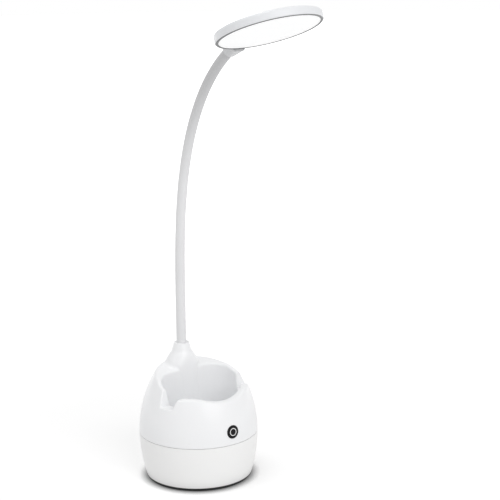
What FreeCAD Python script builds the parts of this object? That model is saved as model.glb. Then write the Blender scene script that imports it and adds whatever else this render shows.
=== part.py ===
import FreeCAD, Part
import math
import os

from FreeCAD import Placement, Rotation, Vector

# A desk lamp on an egg shaped base with a pen cup in its top.
# Millimetres and degrees. Z is up, the lamp leans towards -Y, and the origin is on the table
# under the middle of the base.

# Egg shaped body
egg_radius = 55.0
seam_height = 43.0
lower_arc = 136.0
upper_arc = 108.0
wall = 2.4
seam_gap = 0.5
floor_thickness = 2.6
tongue_height = 2.0
tongue_play = 0.1
foot_thickness = 1.5
foot_inset = 1.6
foot_round = 1.2

# Column that rises from the back of the rim to the neck
neck_inset = 30.0
collar_height = 121.5
collar_radius = 7.3
collar_taper = 15.0
taper_height = 6.0
throat_arc = 10.0
column_lean = 33.0
shoulder_arc = 12.0
column_radius = 15.8
column_proud = 0.8
column_round = 10.0
column_blend = 5.5
roof_thickness = 3.5

# Rim and pen cup
rim_height = 95.2
rim_tilt = 14.5
front_rim_height = 81.6
crest_rise = 4.6
crest_reach = 30.0
hollow_share = 0.63
rim_round = 2.6
lip_round = 2.2
mouth_round = 2.4
cup_inset = 17.8
cup_draft = 3.8
cup_floor_height = 49.0
cup_depth = 10.6
cup_corner = 20.0
level_share = 0.6
steep_share = 0.1
crease_angle = 12.0

# Slot across the rim that holds a telephone
slot_floor_height = 76.5
slot_front = -22.0
slot_width = 12.0
slot_back_lean = 12.0
slot_front_lean = 8.0
slot_round = 0.9
slot_edge_round = 1.2

# Posts and screws that join the two shells
post_radius = 3.5
post_merge = 1.2
post_count = 4
post_height = 22.0
rib_thickness = 1.6
well_radius = 3.2
well_wall = 1.0
seat_thickness = 7.0
screw_radius = 1.4
screw_head_radius = 2.7
screw_head_height = 1.9
screw_length = 14.0
screw_play = 0.1

# Counterweight, tray, battery and boards in the lower shell
weight_height = 10.0
weight_margin = 0.5
tray_thickness = 1.6
tray_margin = 0.8
cell_radius = 9.2
cell_length = 65.0
cell_forward = 12.0
cell_seat = 0.8
cradle_wall = 1.8
cradle_height = 9.0
tray_screw_radius = 1.25
tray_screw_reach = 31.0
tray_screw_depth = 5.0
board_width = 38.0
board_front = 8.5
board_back_gap = 0.6
board_thickness = 1.6
board_tab_margin = 3.0
board_lift = 4.5
standoff_radius = 2.4
standoff_inset = 4.0
standoff_margin = 0.8
board_screw_radius = 1.0
board_screw_depth = 4.5
port_width = 9.0
port_height = 3.2
port_depth = 9.0
port_recess = 1.0
port_play = 0.2
port_shell = 0.35

# Push button and its switch
button_rise = 12.0
button_radius = 5.9
button_play = 0.3
button_proud = 0.5
button_round = 0.6
button_travel = 0.6
flange_radius = 7.4
flange_depth = 3.3
flange_thickness = 1.2
ring_radius = 3.5
ring_width = 0.6
ring_depth = 0.5
plunger_radius = 1.7
plunger_play = 0.08
switch_size = 6.0
switch_height = 3.6
switch_depth = 6.0
switch_board_width = 19.0
switch_board_height = 15.0
rail_width = 2.2
rail_lap = 0.9
rail_stop = 2.0
rail_play = 0.08

# Neck: a steel hose of ball jointed links under a soft sleeve
neck_length = 301.0
neck_end_angle = 56.0
neck_power = 2.1
hinge_count = 7
sleeve_radius = 4.6
core_radius = 3.3
ball_radius = 2.6
ball_play = 0.1
ball_stem_radius = 1.9
shoulder_gap = 2.2
sleeve_gap = 1.5
lead_radius = 0.8
lead_bore = 1.05
lead_gap = 0.7
lead_bend = 1.5
lead_reach = 4.0
lead_lift = 6.0

# Fitting at the foot of the neck
grommet_height = 2.2
grommet_radius = 5.7
stud_radius = 5.0
stud_length = 24.0
fit_play = 0.1
nut_width = 15.0
nut_height = 5.0
washer_radius = 8.6
washer_thickness = 1.0
nest_height = 17.5
nest_margin = 0.4

# Lamp head
head_radius = 46.0
head_height = 8.0
head_round = 2.6
head_dome = 0.5
head_wall = 1.6
bezel_height = 1.4
bezel_chamfer = 1.1
bezel_opening = 43.1
bezel_ledge = 0.8
diffuser_sink = 0.25
diffuser_thickness = 1.4
diffuser_play = 0.15
led_board_radius = 36.0
led_board_height = 4.0
led_board_thickness = 1.2
led_width = 2.8
led_length = 3.5
led_thickness = 0.7
led_ring_shares = (0.42, 0.86)
led_ring_counts = (12, 24)
head_boss_radius = 2.6
head_boss_share = 0.66
head_boss_count = 4
head_screw_radius = 1.0
low_head_height = 0.7
low_head_share = 1.6
head_lead_run = 2.2
head_lead_bend = 4.0
stem_length = 13.5
stem_drop = 1.4
stem_sink = 0.9
stem_width = 14.0
stem_thickness = 8.6
stem_mouth_width = 12.2
stem_mouth_height = 11.0
stem_mouth_corner = 5.0
stem_corner = 2.4
stem_seat = 5.0
tongue_width = 9.0
tongue_length = 6.5
tongue_thickness = 2.0
stem_screw_radius = 0.9
stem_screw_share = 0.3
head_tilt = 21.4
spigot_height = 0.7
spigot_width = 1.0
spigot_play = 0.1

overrun = 20.0

UP = Vector(0, 0, 1)
DOWN = Vector(0, 0, -1)
ACROSS = Vector(1, 0, 0)
BACK = Vector(0, 1, 0)
SIDES = (-1, 1)
neck_offset = egg_radius - neck_inset
cup_radius = egg_radius - cup_inset
cup_back = neck_offset - cup_depth
upper_bottom = seam_height + seam_gap / 2
sky = collar_height + overrun
far = egg_radius + overrun
os.makedirs("parts", exist_ok=True)


def save(name, *solids):
    """Write one piece, or a group of like pieces, to its own file."""
    shape = solids[0] if len(solids) == 1 else Part.makeCompound(list(solids))
    print(name, "solids", len(shape.Solids), "volume", round(shape.Volume, 1), "valid", shape.isValid())
    shape.exportStep("parts/" + name + ".step")


def flat(place, start, *steps):
    """A closed face. A step is a point to go straight to, or a (via, to) pair for an arc."""
    edges = []
    here = start
    for step in steps:
        if isinstance(step[0], tuple):
            via, there = step
            edges.append(Part.Arc(place(*here), place(*via), place(*there)).toShape())
        else:
            there = step
            edges.append(Part.makeLine(place(*here), place(*there)))
        here = there
    edges.append(Part.makeLine(place(*here), place(*start)))
    return Part.Face(Part.Wire(edges))


def base_plane(radius, height):
    return Vector(0, -radius, height)


def neck_plane(radius, height):
    return Vector(0, neck_offset - radius, height)


def side_plane(y, height):
    return Vector(0, y, height)


def front_plane(x, height):
    return Vector(x, 0, height)


def turned(face, centre=Vector()):
    return face.revolve(centre, UP, 360)


def disc(centre, radius, height, axis=UP):
    return Part.makeCylinder(radius, height, centre, axis)


def ring(centre, outer, inner, height, axis=UP):
    hole = Part.makeCylinder(inner, height, centre, axis)
    return Part.makeCylinder(outer, height, centre, axis).cut(hole)


def box(x0, x1, y0, y1, z0, z1):
    return Part.makeBox(x1 - x0, y1 - y0, z1 - z0, Vector(x0, y0, z0))


def on_circle(radius, angle, height):
    turn = math.radians(angle)
    return Vector(radius * math.cos(turn), radius * math.sin(turn), height)


def on_arc(centre, radius, angle):
    return (centre[0] + radius * math.cos(angle), centre[1] + radius * math.sin(angle))


# Egg shape


def egg_at(height, inset=0.0):
    """Radius of the body at a height, for the outer face or a face a wall further in."""
    arc = upper_arc if height > seam_height else lower_arc
    return egg_radius - arc + math.sqrt((arc - inset) ** 2 - (height - seam_height) ** 2)


def upper_egg(inset, bottom):
    """The body above the seam: an arc that closes in to a tip."""
    low = (egg_radius - upper_arc, seam_height)
    arc = upper_arc - inset
    start = math.asin((bottom - seam_height) / arc)
    end = math.acos((upper_arc - egg_radius) / arc)
    tip = (0, seam_height + arc * math.sin(end))
    return turned(flat(base_plane, (0, bottom), on_arc(low, arc, start), (on_arc(low, arc, (start + end) / 2), tip)))


def lower_egg(inset, bottom, top):
    middle = (bottom + top) / 2
    face = flat(
        base_plane,
        (0, bottom),
        (egg_at(bottom, inset), bottom),
        ((egg_at(middle, inset), middle), (egg_at(top, inset), top)),
        (0, top),
    )
    return turned(face)


def under_rim(drop):
    """Everything under the rear rim's plane, which rises towards the neck."""
    slope = math.tan(math.radians(rim_tilt))
    level = rim_height - drop
    ends = [(side * far, level + side * far * slope) for side in SIDES]
    face = flat(side_plane, (-far, 0), (far, 0), ends[1], ends[0])
    body = face.extrude(Vector(2 * far, 0, 0))
    body.translate(Vector(-far, 0, 0))
    return body


def front_wave(drop):
    """Everything under the front rim, which dips in the middle and crests at each side."""
    turn = 2 * math.atan(crest_rise / crest_reach)
    both = crest_reach / math.sin(turn)
    dip = hollow_share * both
    crest = both - dip
    low = front_rim_height - drop
    dip_centre = (0, low + dip)
    ease = on_arc(dip_centre, dip, -math.pi / 2 + turn)
    peak = low + crest_rise
    side = crest_reach + crest * math.sin(turn)
    face = flat(
        front_plane,
        (-egg_radius, seam_height - wall),
        (egg_radius, seam_height - wall),
        (egg_radius, ease[1]),
        (side, ease[1]),
        ((crest_reach, peak), ease),
        ((0, low), (-ease[0], ease[1])),
        ((-crest_reach, peak), (-side, ease[1])),
        (-egg_radius, ease[1]),
    )
    return face.extrude(Vector(0, -egg_radius - overrun, 0))


def telephone_slot():
    """A slot right across the rim: its back wall leans back and its front wall leans forward."""
    top = collar_height
    rise = top - slot_floor_height
    back = slot_front + slot_width
    face = flat(
        side_plane,
        (slot_front, slot_floor_height),
        (back, slot_floor_height),
        (back + rise * math.tan(math.radians(slot_back_lean)), top),
        (slot_front - rise * math.tan(math.radians(slot_front_lean)), top),
    )
    prism = face.extrude(Vector(2 * egg_radius, 0, 0))
    prism.translate(Vector(-egg_radius, 0, 0))
    floor = [e for e in prism.Edges if e.BoundBox.ZMax < slot_floor_height + slot_round]
    along = [e for e in floor if e.BoundBox.XLength > egg_radius]
    return prism.makeFillet(slot_round, along)


def cup_form(grow, bottom, top):
    """The cup's well: round and a little wider upwards, with a flat back and broad back corners."""
    draft = math.radians(cup_draft)
    low = cup_radius + grow / math.cos(draft) + (bottom - cup_floor_height) * math.tan(draft)
    high = low + (top - bottom) * math.tan(draft)
    back = cup_back + grow
    cone = Part.makeCone(low, high, top - bottom, Vector(0, 0, bottom))
    form = cone.cut(box(-high, high, back, high, bottom, top))
    corners = [e for e in form.Edges if e.BoundBox.ZLength > (top - bottom) / 2]
    corners = [e for e in corners if abs(e.Vertexes[0].Point.y - back) < wall / 2]
    return form.makeFillet(cup_corner + grow, corners)


def column():
    """The neck's column: upright, then in by a shoulder and a cone, then out of it by a throat."""
    lean, taper = math.radians(column_lean), math.radians(collar_taper)
    bottom = cup_floor_height - wall
    top = (collar_radius + taper_height * math.tan(taper), collar_height - taper_height)
    throat = (top[0] + throat_arc * math.cos(taper), top[1] + throat_arc * math.sin(taper))
    cone_top = on_arc(throat, throat_arc, math.pi + lean)
    middle = column_radius - shoulder_arc
    cone_radius = middle + shoulder_arc * math.cos(lean)
    cone_bottom = (cone_radius, cone_top[1] - (cone_radius - cone_top[0]) / math.tan(lean))
    shoulder = (middle, cone_bottom[1] - shoulder_arc * math.sin(lean))
    face = flat(
        neck_plane,
        (0, bottom),
        (column_radius, bottom),
        (column_radius, shoulder[1]),
        (on_arc(shoulder, shoulder_arc, lean / 2), cone_bottom),
        cone_top,
        (on_arc(throat, throat_arc, math.pi + (taper + lean) / 2), top),
        (collar_radius, collar_height),
        (0, collar_height),
    )
    front = cup_back - column_proud
    body = turned(face, Vector(0, neck_offset, 0)).cut(box(-far, far, -far, front, bottom - wall, sky))
    on_front = [e for e in body.Edges if e.BoundBox.YMax < front + wall / 2]
    return body.makeFillet(column_round, [e for e in on_front if e.BoundBox.ZMax > cup_floor_height])


split = slot_front + slot_width / 2


def facing(face, point):
    u, v = face.Surface.parameter(point)
    return face.normalAt(u, v)


def creases(shape, wanted):
    """Edges between two faces at an angle, by a rule for their middle and how far the faces look up."""
    found = []
    for edge in shape.Edges:
        faces = [f for f in shape.Faces if any(edge.isSame(other) for other in f.Edges)]
        if len(faces) == 2:
            middle = edge.valueAt((edge.FirstParameter + edge.LastParameter) / 2)
            one, other = [facing(face, middle) for face in faces]
            steep, level = sorted((one.z, other.z))
            if one.getAngle(other) > math.radians(crease_angle) and wanted(middle, steep, level):
                found.append(edge)
    return found


def rounded(shape, radius, wanted):
    return shape.makeFillet(radius, creases(shape, wanted))


def on_rim(point):
    return point.z > slot_floor_height + wall


def rims():
    """The body up to its rims: the rear one on its plane, the front one in a wave."""
    rear = upper_egg(0, upper_bottom).common(under_rim(0))
    rear = rounded(rear, rim_round, lambda middle, steep, level: on_rim(middle))
    front = upper_egg(0, upper_bottom).common(front_wave(0))
    front = front.common(box(-far, far, -far, split, 0, sky))
    ahead = split - slot_round
    front = rounded(front, rim_round, lambda middle, steep, level: on_rim(middle) and middle.y < ahead)
    return rear.common(box(-far, far, split, far, 0, sky)).fuse(front)


def base_top():
    """The whole outside of the upper shell as one solid, with the cup and the slot cut into it."""

    def lip(middle, steep, level):
        return on_rim(middle) and middle.y < split and steep < steep_share and level > level_share

    def mouth(middle, steep, level):
        return on_rim(middle) and middle.y > split and steep < steep_share and level > level_share

    def slot_edge(middle, steep, level):
        return on_rim(middle) and steep > steep_share and level > level_share

    def foot(middle, steep, level):
        apart = math.hypot(middle.x, middle.y - neck_offset)
        return apart < column_radius + rim_round and cup_floor_height < middle.z < collar_height - taper_height

    body = rims().cut(telephone_slot()).cut(cup_form(0, cup_floor_height, sky)).removeSplitter()
    body = rounded(body, lip_round, lip)
    body = rounded(body, mouth_round, mouth)
    body = rounded(body, slot_edge_round, slot_edge)
    return rounded(body.fuse(column()), column_blend, foot)


# Heights and places that follow from the sizes

lower_top = seam_height - seam_gap / 2
tongue_top = seam_height + tongue_height
floor_top = foot_thickness + floor_thickness
screw_seat = upper_bottom - seat_thickness
nest_ceiling = collar_height - nest_height
stud_top = collar_height - grommet_height

post_circle = cup_radius + wall + post_radius - post_merge
post_angles = [360 / post_count * (k + 0.5) for k in range(post_count)]


def posts(bottom, top, radius):
    return [disc(on_circle(post_circle, angle, bottom), radius, top - bottom) for angle in post_angles]


def post_ribs():
    """Upright ribs that tie the upper posts to the outer wall."""
    half = rib_thickness / 2
    rib = box(post_circle, far, -half, half, upper_bottom, upper_bottom + post_height)
    return [put(rib, Placement(Vector(), Rotation(UP, angle))) for angle in post_angles]


# The push button's own frame: its Z points out of the body and its middle is on the surface

button_height = seam_height + button_rise
button_slope = math.asin(button_rise / upper_arc)
button_turn = Rotation(ACROSS, 90 - math.degrees(button_slope))
button_place = Placement(Vector(0, -egg_at(button_height), button_height), button_turn)
flange_back = flange_depth + flange_thickness
board_face = switch_depth + switch_height
board_rear = board_face + board_thickness


def put(shape, place):
    moved = shape.copy()
    moved.Placement = place.multiply(moved.Placement)
    return moved


def switch_rails():
    """Two grooved rails inside the shell that hold the switch board, with a stop at their top."""
    inner = switch_board_width / 2 - rail_lap
    half = switch_board_height / 2
    rails = []
    for side in SIDES:
        x0, x1 = sorted((side * inner, side * (inner + rail_width)))
        rails.append(box(x0, x1, -half, half + rail_stop, -board_rear - rail_width, 0))
    edge = switch_board_width / 2 + rail_play
    groove = box(-edge, edge, -half, half + rail_play, -board_rear - rail_play, -board_face + rail_play)
    return [put(rail.cut(groove), button_place) for rail in rails]


def shell_hollow():
    """The room inside the upper shell: under the slot, behind it, in front of it and in the column."""
    slope_back = math.tan(math.radians(slot_back_lean))
    slope_front = math.tan(math.radians(slot_front_lean))
    behind = slot_front + slot_width + slope_back * (rim_height - slot_floor_height) + wall
    ahead = slot_front - slope_front * (front_rim_height + crest_rise - slot_floor_height) - wall
    under_slot = box(-far, far, -far, far, seam_height, slot_floor_height - roof_thickness)
    back_room = under_rim(roof_thickness).common(box(-far, far, behind, far, seam_height, sky))
    front_room = front_wave(roof_thickness).common(box(-far, far, -far, ahead, seam_height, sky))
    room = upper_egg(wall, seam_height).common(under_slot.fuse([back_room, front_room]))
    room = room.cut(cup_form(wall, cup_floor_height - wall, sky))
    nest = disc(Vector(0, neck_offset, cup_floor_height), washer_radius + nest_margin, nest_ceiling - cup_floor_height)
    return room.fuse(nest)


def upper_shell():
    """Egg shaped shell with the cup, the rim, the slot and the column, open underneath."""
    body = base_top()
    fittings = posts(upper_bottom, upper_bottom + post_height, post_radius)
    fittings += post_ribs() + switch_rails()
    shell = body.cut(shell_hollow()).fuse([piece.common(body) for piece in fittings])

    rebate_outer = egg_radius - wall / 2 + tongue_play
    rebate_inner = egg_radius - wall - tongue_play
    rebate_height = tongue_top + tongue_play - upper_bottom
    screw_depth = screw_length - seat_thickness + screw_play
    button_hole = disc(Vector(0, 0, -flange_depth), button_radius + button_play, overrun)
    cuts = [
        disc(Vector(0, neck_offset, nest_ceiling), stud_radius + fit_play, nest_height),
        disc(Vector(0, neck_offset, stud_top), grommet_radius + fit_play, overrun),
        ring(Vector(0, 0, upper_bottom), rebate_outer, rebate_inner, rebate_height),
        put(button_hole, button_place),
    ]
    cuts += posts(upper_bottom, upper_bottom + screw_depth, screw_radius + screw_play / 2)
    return shell.cut(cuts).removeSplitter()


# Board and charging socket

tray_bottom = floor_top + weight_height
tray_top = tray_bottom + tray_thickness
board_bottom = tray_top + board_lift
board_top = board_bottom + board_thickness
port_middle = board_top + port_height / 2
port_mouth = egg_at(port_middle) - port_recess
board_room = egg_at(board_bottom, wall) - board_back_gap
board_back = math.sqrt(board_room ** 2 - (board_width / 2) ** 2)
board_tab = port_width / 2 + board_tab_margin
board_tab_back = math.sqrt(board_room ** 2 - board_tab ** 2)


def port_form(grow, y0, y1):
    """A bar with round ends along Y, at the charging socket's place."""
    radius = port_height / 2 + grow
    offset = (port_width - port_height) / 2
    form = box(-offset, offset, y0, y1, port_middle - radius, port_middle + radius)
    ends = [disc(Vector(side * offset, y0, port_middle), radius, y1 - y0, BACK) for side in SIDES]
    return form.fuse(ends).removeSplitter()


def lower_shell():
    """Bowl with a floor, a locating tongue, screw posts and the charging socket's opening."""
    body = lower_egg(0, foot_thickness, lower_top)
    bottom = [e for e in body.Edges if e.BoundBox.ZMax < floor_top and e.Length > egg_radius]
    body = body.makeFillet(foot_round, bottom)
    tongue = disc(Vector(0, 0, lower_top), egg_radius - wall / 2, tongue_top - lower_top)
    inside = lower_egg(wall, floor_top, seam_height)
    mouth_form = disc(Vector(0, 0, seam_height), egg_radius - wall, overrun)
    body = body.fuse(tongue).cut([inside, mouth_form])
    body = body.fuse(posts(foot_thickness, upper_bottom, well_radius + well_wall))
    cuts = posts(0, screw_seat, well_radius)
    cuts += posts(screw_seat, sky, screw_radius + screw_play)
    cuts.append(port_form(port_play, board_tab_back, far))
    return body.cut(cuts).removeSplitter()


def foot_pad():
    return disc(Vector(0, 0, 0), egg_at(foot_thickness) - foot_inset, foot_thickness)


def charge_port():
    """Metal shell of the socket with its middle blade."""
    back = port_mouth - port_depth
    shell = port_form(0, back, port_mouth)
    cavity = port_form(-port_shell, back + port_recess, port_mouth)
    half = (port_width - port_height) / 2
    low, high = port_middle - port_shell, port_middle + port_shell
    blade = box(-half, half, back, port_mouth - port_recess, low, high)
    return shell.cut(cavity).fuse(blade)


# Weight, tray and battery

weight_radius = post_circle - well_radius - well_wall - weight_margin
tray_radius = weight_radius - tray_margin
cell_height = tray_top + cell_seat + cell_radius
tray_screw_spots = [(side * tray_screw_reach, board_front) for side in SIDES]
standoff_x = board_width / 2 - standoff_inset
standoff_reach = tray_radius - standoff_radius - standoff_margin
standoff_ys = (board_front + standoff_inset, math.sqrt(standoff_reach ** 2 - standoff_x ** 2))
standoff_spots = [(side * standoff_x, y) for side in SIDES for y in standoff_ys]


def pegs(spots, bottom, height, radius):
    """Upright round bars at a list of places, for pegs and for the holes they leave."""
    return [disc(Vector(x, y, bottom), radius, height) for x, y in spots]


def counterweight():
    plate = disc(Vector(0, 0, floor_top), weight_radius, weight_height)
    bottom = tray_bottom - tray_screw_depth
    return plate.cut(pegs(tray_screw_spots, bottom, tray_screw_depth, tray_screw_radius + screw_play / 2))


def electronics_tray():
    """Round tray with saddles and walls for the battery, and standoffs for the board."""
    quarter = cell_length / 4
    inner = cell_radius + fit_play
    parts = pegs(standoff_spots, tray_bottom, board_bottom - tray_bottom, standoff_radius)
    top = tray_top + cradle_height / 2
    for side in SIDES:
        y0, y1 = sorted((side * inner - cell_forward, side * (inner + cradle_wall) - cell_forward))
        parts.append(box(-quarter, quarter, y0, y1, tray_bottom, tray_top + cradle_height))
        x0, x1 = side * quarter - cradle_wall, side * quarter + cradle_wall
        parts.append(box(x0, x1, -inner - cell_forward, inner - cell_forward, tray_bottom, top))
    tray = disc(Vector(0, 0, tray_bottom), tray_radius, tray_thickness).fuse(parts)
    cuts = [disc(Vector(-far, -cell_forward, cell_height), cell_radius, 2 * far, ACROSS)]
    cuts += pegs(tray_screw_spots, tray_bottom, overrun, tray_screw_radius + screw_play)
    hole = board_screw_radius + screw_play / 2
    cuts += pegs(standoff_spots, board_bottom - board_screw_depth, overrun, hole)
    return tray.cut(cuts).removeSplitter()


def battery_cell():
    can = disc(Vector(-cell_length / 2, -cell_forward, cell_height), cell_radius, cell_length, ACROSS)
    rims = [e for e in can.Edges if e.BoundBox.XLength < cell_seat]
    return can.makeFillet(cell_seat, rims)


def screw(place, radius, length, head_radius, head_height, up=UP):
    """Screw with a recessed flat head: the head's seat is at place and the shank runs along up."""
    shank = disc(place, radius, length, up)
    base = place - up * head_height
    top = disc(base, head_radius, head_height, up)
    recess = disc(base, head_radius / 3, head_height / 2, up)
    return shank.fuse(top).cut(recess)


def shell_screws():
    spots = [on_circle(post_circle, angle, screw_seat) for angle in post_angles]
    return [screw(spot, screw_radius, screw_length, screw_head_radius, screw_head_height) for spot in spots]


def down_screws(spots, height, radius, length):
    return [screw(Vector(x, y, height), radius, length, 2 * radius, radius, DOWN) for x, y in spots]


def main_board():
    board = box(-board_width / 2, board_width / 2, board_front, board_back, board_bottom, board_top)
    tab = box(-board_tab, board_tab, board_front, board_tab_back, board_bottom, board_top)
    cuts = pegs(standoff_spots, board_bottom, board_thickness, board_screw_radius + screw_play)
    return board.fuse(tab).cut(cuts).removeSplitter()


# The larger parts on the board, as shares of its width, its length and its thickness:
# the middle across, the middle along, the width, the length and the height

board_part_shares = (
    (-0.28, 0.38, 0.21, 0.18, 2.6),
    (0.22, 0.55, 0.18, 0.18, 0.8),
    (0.02, 0.30, 0.15, 0.12, 3.2),
    (-0.25, 0.10, 0.15, 0.11, 2.5),
    (0.25, 0.10, 0.15, 0.11, 2.5),
    (0.00, 0.52, 0.15, 0.11, 2.5),
)
switch_plug, cell_plug, neck_plug = board_part_shares[3:]


def board_block(shares):
    across, along, wide, long, high = shares
    length = board_back - board_front
    x, y = across * board_width, board_front + along * length
    dx, dy = wide * board_width / 2, long * length / 2
    return box(x - dx, x + dx, y - dy, y + dy, board_top, board_top + high * board_thickness)


def plug_top(shares):
    block = board_block(shares).BoundBox
    return Vector(block.Center.x, block.Center.y, block.ZMax)


def lead(points, bend, radius):
    """A wire along straight runs joined by arcs."""
    edges = []
    here = points[0]
    for before, corner, after in zip(points, points[1:], points[2:]):
        first = (corner - before).normalize()
        second = (after - corner).normalize()
        half = first.getAngle(second) / 2
        start = corner - first * (bend * math.tan(half))
        end = corner + second * (bend * math.tan(half))
        inward = (second - first).normalize()
        middle = corner + inward * (bend / math.cos(half) - bend)
        edges.append(Part.makeLine(here, start))
        edges.append(Part.Arc(start, middle, end).toShape())
        here = end
    edges.append(Part.makeLine(here, points[-1]))
    section = Part.Wire(Part.makeCircle(radius, points[0], points[1] - points[0]))
    return Part.Wire(edges).makePipeShell([section], True, False)


def battery_lead():
    """From the battery's end round its side and over to its plug on the board."""
    end = Vector(cell_length / 2, -cell_forward, cell_height)
    plug = plug_top(cell_plug)
    out = end + ACROSS * lead_reach
    side = Vector(out.x, 0, plug.z + lead_lift)
    return lead([end, out, side, plug + UP * lead_lift, plug], lead_bend, lead_radius)


def switch_lead():
    """From the switch board's back down and over the battery to its plug on the board."""
    start = button_place.multVec(Vector(-lead_reach, -lead_reach, -board_rear))
    inward = button_turn.multVec(DOWN) * (lead_bend + lead_gap)
    plug = plug_top(switch_plug)
    over = cell_height + cell_radius + lead_reach
    corner = start + inward
    low = Vector(corner.x, corner.y, over)
    return lead([start, corner, low, Vector(plug.x, plug.y, over), plug], lead_bend, lead_radius)


# Button and switch


def button_form():
    low = button_proud - button_round
    cut = button_round * (1 - math.sqrt(0.5))
    face = flat(
        front_plane,
        (0, -flange_back),
        (flange_radius, -flange_back),
        (flange_radius, -flange_depth),
        (button_radius, -flange_depth),
        (button_radius, low),
        ((button_radius - cut, button_proud - cut), (button_radius - button_round, button_proud)),
        (0, button_proud),
    )
    return turned(face)


def inlay():
    return ring(Vector(0, 0, -ring_depth), ring_radius, ring_radius - ring_width, overrun)


def button_cap():
    return put(button_form().cut(inlay()), button_place)


def button_ring():
    return put(button_form().common(inlay()), button_place)


def switch_plunger():
    reach = switch_depth + 2 * button_travel
    return put(disc(Vector(0, 0, -reach), plunger_radius, reach - flange_back), button_place)


def switch_body():
    half = switch_size / 2
    depth = 4 * button_travel
    hole = disc(Vector(0, 0, -switch_depth - depth), plunger_radius + plunger_play, depth)
    return put(box(-half, half, -half, half, -board_face, -switch_depth).cut(hole), button_place)


def switch_board():
    wide = switch_board_width / 2
    high = switch_board_height / 2
    return put(box(-wide, wide, -high, high, -board_rear, -board_face), button_place)


# Neck: its line, cut into links at the hinges

neck_pitch = neck_length / hinge_count
hinge_stations = [(k + 0.5) * neck_pitch for k in range(hinge_count)]
stations = [0.0] + hinge_stations + [neck_length]
links = range(hinge_count + 1)


def lean_at(station):
    """Lean from upright: none up to the first hinge, then growing by a power law."""
    share = max(0.0, (station - hinge_stations[0]) / (neck_length - hinge_stations[0]))
    return math.radians(neck_end_angle) * share ** neck_power


def heading(lean):
    return Vector(0, -math.sin(lean), math.cos(lean))


def chord(length, start, end):
    """The straight step from one end to the other of an arc of a length between two leans."""
    half = (end - start) / 2
    return heading(start + half) * (length if half == 0 else length * math.sin(half) / half)


leans = [lean_at(station) for station in stations]
link_lengths = [stations[k + 1] - stations[k] for k in links]
knots = [Vector(0, neck_offset, collar_height)]
for k in links:
    knots.append(knots[k] + chord(link_lengths[k], leans[k], leans[k + 1]))


def link_point(k, t):
    """Point and lean at a distance t along link k, which is one arc."""
    lean = leans[k] + (leans[k + 1] - leans[k]) * t / link_lengths[k]
    return knots[k] + chord(t, leans[k], lean), lean


def neck_bar(k, radius, t0, t1):
    """Round bar along link k between two distances from its start."""
    start, lean = link_point(k, t0)
    circle = Part.Face(Part.Wire(Part.makeCircle(radius, start, heading(lean))))
    turn = (leans[k + 1] - leans[k]) * (t1 - t0) / link_lengths[k]
    if turn == 0:
        return circle.extrude(heading(lean) * (t1 - t0))
    centre = start - Vector(0, math.cos(lean), math.sin(lean)) * ((t1 - t0) / turn)
    return circle.revolve(centre, ACROSS, math.degrees(turn))


def neck_core(k):
    """One link of the steel hose: a socket at its foot, a ball at its head, and a bore."""
    length = link_lengths[k]
    bottom = -grommet_height if k == 0 else 0.0
    cuts = [neck_bar(k, lead_bore, bottom - ball_radius, length + 2 * stem_seat)]
    if k > 0:
        cuts.append(Part.makeSphere(ball_radius + ball_play, knots[k]))
    if k == hinge_count:
        return neck_bar(k, core_radius, bottom, length + stem_seat).cut(cuts)
    shoulder = length - shoulder_gap
    stem = neck_bar(k, ball_stem_radius, shoulder - shoulder_gap, length)
    ball = Part.makeSphere(ball_radius, knots[k + 1])
    return neck_bar(k, core_radius, bottom, shoulder).fuse([stem, ball]).cut(cuts)


def neck_sleeve(k):
    start = -grommet_height if k == 0 else sleeve_gap
    end = link_lengths[k] + (stem_seat if k == hinge_count else -sleeve_gap)
    return neck_bar(k, sleeve_radius, start, end).cut(neck_bar(k, core_radius, start, end))


def neck_lead(k):
    """The wire in one link. The first one comes up from the board through the stud."""
    if k > 0:
        end = link_lengths[k] + (stem_seat if k == hinge_count else -lead_gap)
        return neck_bar(k, lead_radius, ball_radius + lead_gap, end)
    plug = plug_top(neck_plug)
    turn = Vector(0, neck_offset, seam_height)
    return lead([plug, plug + UP * lead_lift, turn, knots[1] - UP * lead_gap], lead_bend, lead_radius)


# Fitting at the foot of the neck


def on_neck(height):
    return Vector(0, neck_offset, height)


def neck_stud():
    return ring(on_neck(stud_top - stud_length), stud_radius, lead_bore, stud_length)


def neck_washer():
    base = on_neck(nest_ceiling - washer_thickness)
    return ring(base, washer_radius, stud_radius + fit_play, washer_thickness)


def neck_nut():
    base = on_neck(nest_ceiling - washer_thickness - nut_height)
    corner = nut_width / 2 / math.cos(math.pi / 6)
    outline = Part.makePolygon([base + on_circle(corner, 60 * k, 0) for k in range(7)])
    return Part.Face(outline).extrude(UP * nut_height).cut(disc(base, stud_radius + fit_play / 2, nut_height))


def neck_grommet():
    return ring(on_neck(stud_top), grommet_radius, sleeve_radius + fit_play / 2, grommet_height)


# Lamp head, built level with its lit side down and then placed at the end of the neck

mouth, mouth_lean = link_point(hinge_count, link_lengths[hinge_count])
head_turn = Rotation(ACROSS, -head_tilt)
mouth_spot = Vector(0, head_radius + stem_length, head_height / 2 - stem_drop)
head_place = Placement(mouth - head_turn.multVec(mouth_spot), head_turn)
mouth_way = head_turn.inverted().multVec(heading(mouth_lean))
neck_end, end_lean = link_point(hinge_count, link_lengths[hinge_count] + stem_seat)
end_spot = head_place.inverse().multVec(neck_end)
end_way = head_turn.inverted().multVec(heading(end_lean))
ceiling = head_height - head_wall
slot_bottom = ceiling - tongue_thickness - fit_play
led_board_top = led_board_height + led_board_thickness
boss_angles = [360 / head_boss_count * (k + 0.5) for k in range(head_boss_count)]
boss_spots = [on_circle(head_boss_share * led_board_radius, angle, 0) for angle in boss_angles]
stem_screw_y = head_radius - (tongue_length + head_wall) / 2
stem_screw_spots = [(side * stem_screw_share * tongue_width, stem_screw_y) for side in SIDES]
spigot_radius = head_radius - head_wall - spigot_play
spigot_inner = spigot_radius - spigot_width / 2


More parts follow.
